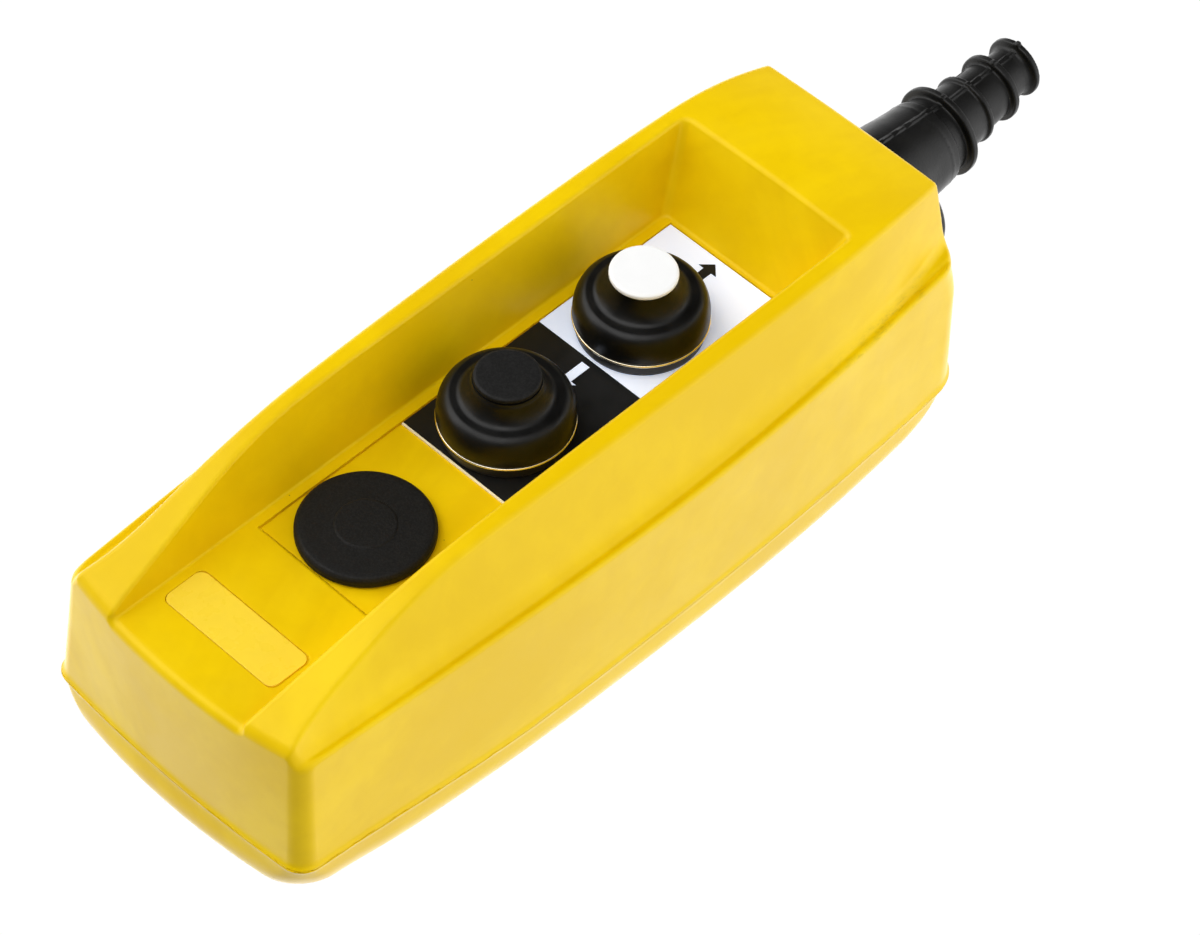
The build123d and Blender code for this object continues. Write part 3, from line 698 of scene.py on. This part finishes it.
def casing_material(name, tint=(1.0, 1.0, 1.0)):
    s = Shade(name)
    base = np.array([0.885, 0.592, 0.0006]) * np.array(tint)
    light = opaque(base * np.array([1.03, 1.05, 1.6]))
    dark = opaque(base * np.array([0.925, 0.895, 0.6]))
    along = s.stretch(1.0, 0.35, 1.0)
    swirl = s.noise(scale=16.0, detail=4.0, rough=0.55, distortion=1.6, vector=along)
    fine = s.noise(scale=140.0, rough=0.6, distortion=0.4)
    tone = s.plus(s.times(swirl, 0.8), s.times(fine, 0.2))
    col = s.mix(s.span(tone, (0.36, 0.64)), dark, light)
    # dark specks and faint pale scuffs
    col = s.speckle(
        col, (0.10, 0.062, 0.012, 1), strength=0.75, scale=170.0, radius=0.00016, share=0.10
    )
    col = s.speckle(
        col, (0.17, 0.10, 0.01, 1), strength=0.6, scale=60.0, radius=0.00024, share=0.10
    )
    scuff = s.noise(scale=34.0, detail=5.0, rough=0.7, vector=s.stretch(9.0, 1.0, 9.0))
    col = s.mix(s.span(scuff, (0.70, 0.80), to=(0.0, 0.12)), col, (0.97, 0.80, 0.30, 1))
    # painted shade in the shoulder groove: darker colour and a rougher surface there
    groove_shade_mask = paint_groove_shade(s)
    col = s.mix(s.times(groove_shade_mask, 0.32), col, (0.11, 0.068, 0.02, 1))
    sheen = s.vary(to=(0.30, 0.38), scale=90.0, detail=4.0, rough=0.6)
    rough = s.plus(sheen, s.times(groove_shade_mask, 0.25))
    grain = s.times(s.noise(scale=2600.0, detail=2.0), 0.5)
    waves = s.times(s.noise(scale=120.0), 2.2)
    s.bump(s.plus(grain, waves), distance=0.00003, strength=0.45)
    return s.set(
        Base_Color=col, Roughness=rough, IOR=1.45, Specular_Tint=(1.0, 0.95, 0.32, 1.0)
    )


def rubber_material(name, base, rough, dust=0.6, grain=0.00004):
    s = Shade(name)
    dust_colour = (0.34, 0.28, 0.14, 1)
    fine_dust = dict(scale=330.0, radius=0.00007, share=0.16)
    tone = s.vary(scale=70.0, detail=4.0, rough=0.6, distortion=0.6)
    col = s.mix(tone, opaque(np.array(base) * 0.82), opaque(np.array(base) * 1.25))
    film = s.noise(scale=45.0, detail=5.0, rough=0.65, distortion=0.8)
    col = s.mix(s.span(film, (0.45, 0.75), to=(0.0, 0.012)), col, (0.35, 0.33, 0.28, 1))
    col = s.speckle(col, dust_colour, dust, **fine_dust)
    col = s.speckle(col, dust_colour, dust, scale=120.0, radius=0.00012, share=0.10)
    sheen = s.vary(to=(rough - 0.05, rough + 0.06), scale=160.0, rough=0.6)
    rough_map = s.plus(sheen, s.times(s.specks(**fine_dust), 0.3))
    s.bump(s.noise(scale=1900.0, rough=0.6), distance=grain, strength=0.6)
    return s.set(Base_Color=col, Roughness=rough_map, IOR=1.36)


def grain_black(name):
    """Fine-grained black moulding of the blanking plug and the black cap."""
    s = Shade(name)
    grain = s.noise(scale=2300.0, rough=0.7)
    dark, light = (0.0035, 0.0034, 0.0032, 1), (0.0105, 0.0102, 0.0098, 1)
    col = s.mix(s.span(grain, (0.35, 0.7)), dark, light)
    col = s.speckle(
        col, (0.32, 0.28, 0.2, 1), strength=0.5, scale=240.0, radius=0.0001, share=0.07
    )
    s.bump(grain, distance=0.00009, strength=0.7)
    return s.set(Base_Color=col, Roughness=s.vary(to=(0.5, 0.62), scale=500.0), IOR=1.29)


def metal(name, base, rough, second=None):
    s = Shade(name)
    grain = s.noise(scale=900.0, detail=4.0, rough=0.6)
    second = second or [c * 0.8 for c in base]
    col = s.mix(s.span(grain, (0.3, 0.7)), opaque(second), opaque(base))
    s.bump(s.noise(scale=1800.0, detail=2.0, rough=0.6), distance=0.000012, strength=0.4)
    sheen = s.span(grain, (0.2, 0.8), to=(rough - 0.06, rough + 0.08))
    return s.set(Base_Color=col, Metallic=1.0, Roughness=sheen)


def plastic(name, rgb, rough, vary=0.04, speck=0.25, spot=(0.2, 0.17, 0.13, 1), **extra):
    """Smooth plastic; rgb is 8-bit sRGB, vary its unevenness, speck the strength of spots."""
    s = Shade(name)
    base = linear(rgb)
    dark = opaque(c * (1 - vary) for c in base)
    light = opaque(min(1.0, c * (1 + vary)) for c in base)
    col = s.mix(s.vary(scale=120.0, detail=4.0, rough=0.6, distortion=0.5), dark, light)
    col = s.speckle(col, spot, speck, scale=260.0, radius=0.00007, share=0.06)
    s.bump(s.noise(scale=1500.0, rough=0.6), distance=0.00002, strength=0.35)
    sheen = s.vary(to=(rough - 0.03, rough + 0.05), scale=300.0)
    return s.set(Base_Color=col, Roughness=sheen, IOR=1.46, **extra)


YELLOW = casing_material("yellow_casing_front")
YELLOW_REAR = casing_material("yellow_casing_rear", tint=(0.985, 0.975, 1.0))
RUBBER = rubber_material("black_rubber_boot", base=(0.0020, 0.0019, 0.0017), rough=0.37)
SLEEVE_RUBBER = rubber_material(
    "black_rubber_sleeve", base=(0.0032, 0.0031, 0.0028), rough=0.42, dust=0.8, grain=0.00006
)
BLACK_GRAIN = grain_black("black_grained_plastic")
BLACK = plastic(
    "black_plastic", (27, 26, 25), rough=0.42, vary=0.1, speck=0.5, spot=(0.35, 0.3, 0.2, 1)
)
WHITE = plastic("white_plastic", (247, 247, 246), rough=0.32, vary=0.012, speck=0.5)
GREY = plastic("grey_plastic", (150, 152, 153), rough=0.4)
# painted glow: a faint blue emission makes the white legends and the lower arrow brighter and
# cooler than their lighting alone
GLOWING_WHITE_LEGEND = plastic(
    "white_legend", (250, 251, 255), rough=0.38, vary=0.012, speck=0.6,
    Emission_Color=(0.25, 0.5, 1.0, 1), Emission_Strength=0.26,
)
LEGEND_BLACK = plastic(
    "black_legend", (11, 11, 11), rough=0.40, vary=0.08, speck=0.8, spot=(0.35, 0.32, 0.28, 1)
)
LEGEND_CORE = plastic("legend_core", (250, 240, 205), rough=0.4, vary=0.02, speck=0.3)
PLATE = plastic("pale_yellow_plate", (253, 218, 56), rough=0.28, vary=0.02, speck=0.3)
BRASS = metal("pale_brass", (0.96, 0.89, 0.72), rough=0.20, second=(0.92, 0.80, 0.56))
ZINC = metal("zinc_steel", (0.62, 0.62, 0.60), rough=0.32)
SPRING = metal("spring_steel", (0.50, 0.49, 0.47), rough=0.28)
COPPER = metal("copper_contact", (0.85, 0.52, 0.33), rough=0.26)

BY_SLOT = {
    "yellow_casing": YELLOW, "black_rubber": RUBBER, "black_plastic": BLACK,
    "white_plastic": WHITE, "grey_plastic": GREY, "white_legend": GLOWING_WHITE_LEGEND,
    "black_legend": LEGEND_BLACK, "pale_yellow_plate": PLATE, "pale_brass": BRASS,
    "zinc_steel": ZINC, "spring_steel": SPRING, "copper_contact": COPPER,
}


def finish_cad(obj):
    """Give a CAD node the finish of its material slot."""
    slots = obj.data.materials
    named = [m.name.split(".")[0] for m in slots if m]
    chosen = GREY
    for key, material in BY_SLOT.items():
        if key in named:
            chosen = material
    for i in range(len(slots)):
        slots[i] = chosen
    if not len(slots):
        slots.append(chosen)


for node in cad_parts.values():
    finish_cad(node)


def dress(obj, material):
    obj.data.materials.clear()
    obj.data.materials.append(material)


def fit(obj, material, replaced=None, body="enclosure"):
    """Dress a piece, fix it to a body and let it stand for a CAD piece."""
    dress(obj, material)
    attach(obj, body)
    if replaced:
        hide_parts(replaced)


# ---------------------------------------------------------------------- casing
# The grids are finer where edges, grooves and pocket walls lie.
half = lines(
    0, (15.0, 1.1 * COARSE), (15.5, 0.25 * COARSE), (16.35, 0.11 * COARSE),
    (17.9, 0.5 * COARSE), (19.7, 0.24 * COARSE), (41.4, 0.62 * COARSE),
)
front = net_object(
    "casing_front",
    front_field,
    np.concatenate([-half[:0:-1], half]),
    lines(
        -96.6, (-81.5, 0.8 * COARSE), (-80.8, 0.14 * COARSE), (-70.2, 0.9 * COARSE),
        (-69.5, 0.14 * COARSE), (-54.8, 0.9 * COARSE), (-54.1, 0.12 * COARSE),
        (65.2, 0.95 * COARSE), (65.95, 0.12 * COARSE), (68.2, 0.28 * COARSE),
        (108.4, 0.75 * COARSE),
    ),
    lines(
        14.9, (19.1, 0.2), (49.6, 1.1 * COARSE), (50.7, 0.2), (51.1, 0.08), (51.3, 0.1),
        (52.3, 0.14), (60.0, 0.62 * COARSE), (71.5, 0.48 * COARSE),
    ),
)
fit(front, YELLOW, "front_shell")

rear = net_object(
    "casing_rear",
    rear_field,
    lines(-41.8, (41.8, 0.85 * COARSE)),
    lines(-96.8, (108.6, 0.9 * COARSE)),
    lines(-0.5, (2.2, 0.35), (14.4, 0.75 * COARSE), (18.7, 0.18)),
)
fit(rear, YELLOW_REAR, "rear_shell")

seal = net_object(
    "rim_seal",
    seal_field,
    lines(-40.6, (40.6, 0.62 * COARSE)),
    lines(-96.0, (108.0, 0.62 * COARSE)),
    lines(13.9, (18.6, 0.3)),
    reach=0.3,
)
fit(seal, RUBBER, "shell_seal")

sleeve = net_object(
    "cable_boot",
    sleeve_field,
    lines(-26.2, (26.2, 0.5 * COARSE)),
    lines(98.9, (109.0, 0.45 * COARSE), (130.0, 0.6 * COARSE), (163.2, 0.36 * COARSE)),
    lines(25.2, (60.6, 0.5 * COARSE)),
    reach=0.4,
)
fit(sleeve, SLEEVE_RUBBER, "cable_sleeve")

# --------------------------------------------------------------------- buttons
# Profiles are (radius, height above the trough floor, corner radius).
BASE_PROFILE = [
    (11.1, 0.02), (13.7, 0.02, 0.15), (13.95, 0.6, 0.3), (13.85, 3.18, 0.2), (11.1, 3.18),
]
RING_PROFILE = [
    (12.5, 3.2), (14.55, 3.2, 0.2), (14.78, 3.5, 0.25), (14.55, 3.8, 0.2), (12.5, 3.8),
    (12.5, 3.2),
]
BOOT_FOOT = (14.30, 3.84)
BOOT_OUTER = [
    BOOT_FOOT, (14.52, 4.1), (14.58, 5.0), (14.53, 6.2), (14.35, 7.4), (14.0, 8.6),
    (13.45, 9.6), (12.75, 10.3), (11.95, 10.70), (11.1, 10.76), (10.35, 10.82), (9.7, 11.12),
    (9.1, 11.70), (8.5, 12.55), (8.02, 13.5), (7.65, 14.5),
]
BOOT_INNER = [
    (3.6, 11.7), (7.0, 11.1), (8.3, 9.7), (10.2, 8.9), (11.9, 8.9), (12.9, 7.4), (12.95, 3.84),
]
BOOT_TOP = 16.02


def add_boot(side, y, drop):
    top = BOOT_TOP - drop
    outer = BOOT_OUTER + [(7.42, 15.4 - drop * 0.6), (7.30, top)]
    inner = [(5.9, top), (5.9, 13.4 - drop), (3.6, 13.2 - drop)] + BOOT_INNER
    profile = through(outer, 5) + through(inner, 2) + [BOOT_FOOT]
    boot = lathe(f"{side}_bellows", profile, y, 168, 50.0)
    dress(boot, RUBBER)
    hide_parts(f"{side}_boot")
    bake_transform(boot)


def add_cap(side, y, drop, r, material):
    top, foot, rim = 17.45 - drop, 13.4 - drop, 16.12 - drop
    profile = [
        (3.05, foot), (5.6, foot, 0.1), (5.6, rim), (r - 0.25, rim, 0.12),
        (r, 16.4 - drop, 0.3), (r - 0.04, top - 0.25, 0.5), (r - 0.7, top, 0.6),
        (r * 0.6, top + 0.06), (r * 0.3, top + 0.08), (0, top + 0.09),
    ]
    cap = lathe(f"{side}_pad", soft(profile, 5), y, sharp=40.0)
    fit(cap, material, f"{side}_cap", f"{side}_button")


# side, y, how much lower the button sits, cap radius, cap material and slot
for side, y, drop, cap_radius, material, slot in (
    ("raise", RAISE_Y, 0.0, 7.38, WHITE, "white_plastic"),
    ("lower", LOWER_Y, 0.8, 7.15, BLACK_GRAIN, "black_plastic"),
):
    fit(lathe(f"{side}_base", soft(BASE_PROFILE), y), BLACK)
    ring = lathe(f"{side}_bright_ring", soft(RING_PROFILE), y, 192)
    fit(ring, BRASS, f"{side}_clamp_ring")
    add_boot(side, y, drop)
    add_cap(side, y, drop, cap_radius, material)

# --------------------------------------------------------------- blanking plug
PLUG_PROFILE = [
    (8.5, -7.9), (11.0, -7.9, 0.3), (11.0, 0.02), (14.45, 0.02, 0.15), (14.62, 0.5, 0.4),
    (14.6, 1.7, 0.9), (13.9, 2.55, 1.0), (12.4, 2.62, 0.5), (6.55, 2.60, 0.12),
    (6.35, 2.78, 0.1), (6.1, 2.86, 0.1), (3.0, 2.84), (0, 2.84),
]
plug = lathe("plug_disc", soft(PLUG_PROFILE), PLUG_Y, 168, 40.0)
fit(plug, BLACK_GRAIN, "blanking_plug")


# --------------------------------------------------------------------- legends
def add_legend(side, y, face):
    outlines = [box_outline(LEGEND_HALF_X, y - 14.34, y + 25.55), hole_outline(y, 11.35)]
    obj = plate(f"{side}_legend_plate", outlines, Z_LAMINATE, Z_FLOOR + 0.03, bevel=0.05)
    dress(obj, face)
    if face is LEGEND_BLACK:
        # the outer edges show the pale core
        obj.data.materials.append(LEGEND_CORE)
        for p in obj.data.polygons:
            if p.normal.z < 0.6 and math.hypot(p.center.x, p.center.y - y * MM) > 0.013:
                p.material_index = 1
    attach(obj, "enclosure")
    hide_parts(f"{side}_legend")


add_legend("raise", RAISE_Y, GLOWING_WHITE_LEGEND)
add_legend("lower", LOWER_Y, LEGEND_BLACK)
# pale cut edge of the laminate on the side of the empty field
edge_outline = box_outline(LEGEND_HALF_X, -14.78, -14.36)
core = plate("laminate_edge", [edge_outline], Z_LAMINATE, Z_FLOOR - 0.03, bevel=0.06)
fit(core, LEGEND_CORE)


def add_arrow(name, x, tip, way, material):
    """Arrow along Y; way is 1 or -1."""
    head, stem = 2.55, 1.1  # half widths
    neck, tail = tip - way * 2.55, tip - way * 8.1
    points = [
        (x, tip), (x - head, neck), (x - stem, neck), (x - stem, tail),
        (x + stem, tail), (x + stem, neck), (x + head, neck),
    ]
    obj = plate(name, [points[::way]], Z_FLOOR + 0.02, Z_FLOOR + 0.09, bevel=0.012)
    fit(obj, material)


add_arrow("raise_arrow", -0.95, 64.03, 1, LEGEND_BLACK)
add_arrow("lower_arrow", -0.40, 15.9, -1, GLOWING_WHITE_LEGEND)

badge_outline = rounded_outline(-0.2, BADGE_Y, 31.7, 10.8, 2.0)
badge = plate("name_badge", [badge_outline], Z_LAMINATE, Z_FLOOR - 0.08, bevel=0.09)
fit(badge, PLATE, "nameplate")


# ----------------------------------------------------------------------- floor
def floor_material():
    """White to the camera, transparent to every other ray."""
    material = bpy.data.materials.new("floor_white")
    material.use_nodes = True
    nodes, link = material.node_tree.nodes, material.node_tree.links.new
    nodes.clear()
    out = nodes.new("ShaderNodeOutputMaterial")
    path = nodes.new("ShaderNodeLightPath")
    glow = nodes.new("ShaderNodeEmission")
    glow.inputs["Color"].default_value = (1, 1, 1, 1)
    glow.inputs["Strength"].default_value = 1.02
    clear = nodes.new("ShaderNodeBsdfTransparent")
    mixer = nodes.new("ShaderNodeMixShader")
    link(path.outputs["Is Camera Ray"], mixer.inputs[0])
    link(clear.outputs[0], mixer.inputs[1])
    link(glow.outputs[0], mixer.inputs[2])
    link(mixer.outputs[0], out.inputs[0])
    return material


bpy.ops.mesh.primitive_plane_add(size=14.0, location=(0, 0, -0.0002))
floor = bpy.context.object
floor.name = "floor"
floor.data.materials.append(floor_material())
floor.visible_shadow = False
floor.visible_diffuse = False
floor.visible_glossy = False

# -------------------------------------------------------------------- lighting
# azimuth and elevation in degrees, cosines of the inner and outer angle, strength
LOBES = [
    (0, -35, 0.99, 0.25, 0.346), (90, -35, 0.99, 0.25, 1.310),
    (180, -35, 0.99, 0.25, 1.633), (270, -35, 0.99, 0.25, 0.180),
    (0, 8, 0.985, 0.72, 0.733), (45, 8, 0.985, 0.72, 1.705),
    (22, 38, 0.985, 0.80, 0.158), (202, 38, 0.985, 0.80, 2.815),
    (247, 38, 0.985, 0.80, 0.080), (10, 66, 0.985, 0.86, 0.766),
    (190, 66, 0.985, 0.86, 0.207), (280, 66, 0.985, 0.86, 2.805),
]


def build_world():
    """White sky whose strength is the sum of soft round lobes."""
    world = bpy.data.worlds.new("studio")
    scene.world = world
    world.use_nodes = True
    nodes, link = world.node_tree.nodes, world.node_tree.links.new
    nodes.clear()
    out = nodes.new("ShaderNodeOutputWorld")
    background = nodes.new("ShaderNodeBackground")
    background.inputs["Color"].default_value = (1.0, 1.0, 1.0, 1)
    link(background.outputs[0], out.inputs[0])
    ray = nodes.new("ShaderNodeTexCoord").outputs["Generated"]
    total = None
    for i, (azimuth, elevation, inner, outer, strength) in enumerate(LOBES):
        az, el = math.radians(azimuth), math.radians(elevation)
        towards = (math.cos(az) * math.cos(el), math.sin(az) * math.cos(el), math.sin(el))
        dot = nodes.new("ShaderNodeVectorMath")
        dot.operation = "DOT_PRODUCT"
        link(ray, dot.inputs[0])
        dot.inputs[1].default_value = Vector(towards).normalized()
        lobe = nodes.new("ShaderNodeMapRange")
        lobe.name = f"lobe_{i}"
        lobe.interpolation_type = "SMOOTHSTEP"
        link(dot.outputs["Value"], lobe.inputs[0])
        # from outer to inner cosine, up to the strength
        for socket, value in ((1, outer), (2, inner), (4, strength)):
            lobe.inputs[socket].default_value = value
        if total is None:
            total = lobe.outputs[0]
        else:
            add = nodes.new("ShaderNodeMath")
            link(total, add.inputs[0])
            link(lobe.outputs[0], add.inputs[1])
            total = add.outputs[0]
    link(total, background.inputs["Strength"])


build_world()

# ---------------------------------------------------------------------- camera
CAMERA_PLACE = (0.428503, -0.451761, 0.78873)
CAMERA_TURN = Vector((2.28235974, 0.945871203, -0.292844664))  # axis times angle, radians

camera_data = bpy.data.cameras.new("camera")
camera = add_object("camera", camera_data)
right, down, forward = Matrix.Rotation(CAMERA_TURN.length, 3, CAMERA_TURN.normalized())
pose = Matrix((right, -down, -forward)).transposed().to_4x4()
pose.translation = CAMERA_PLACE
camera.matrix_world = pose
camera_data.sensor_width = 36.0
camera_data.sensor_fit = "HORIZONTAL"
camera_data.lens = 140.44
camera_data.clip_start = 0.01
camera_data.clip_end = 50.0
scene.camera = camera

scene.view_settings.view_transform = "Standard"
scene.view_settings.look = "None"
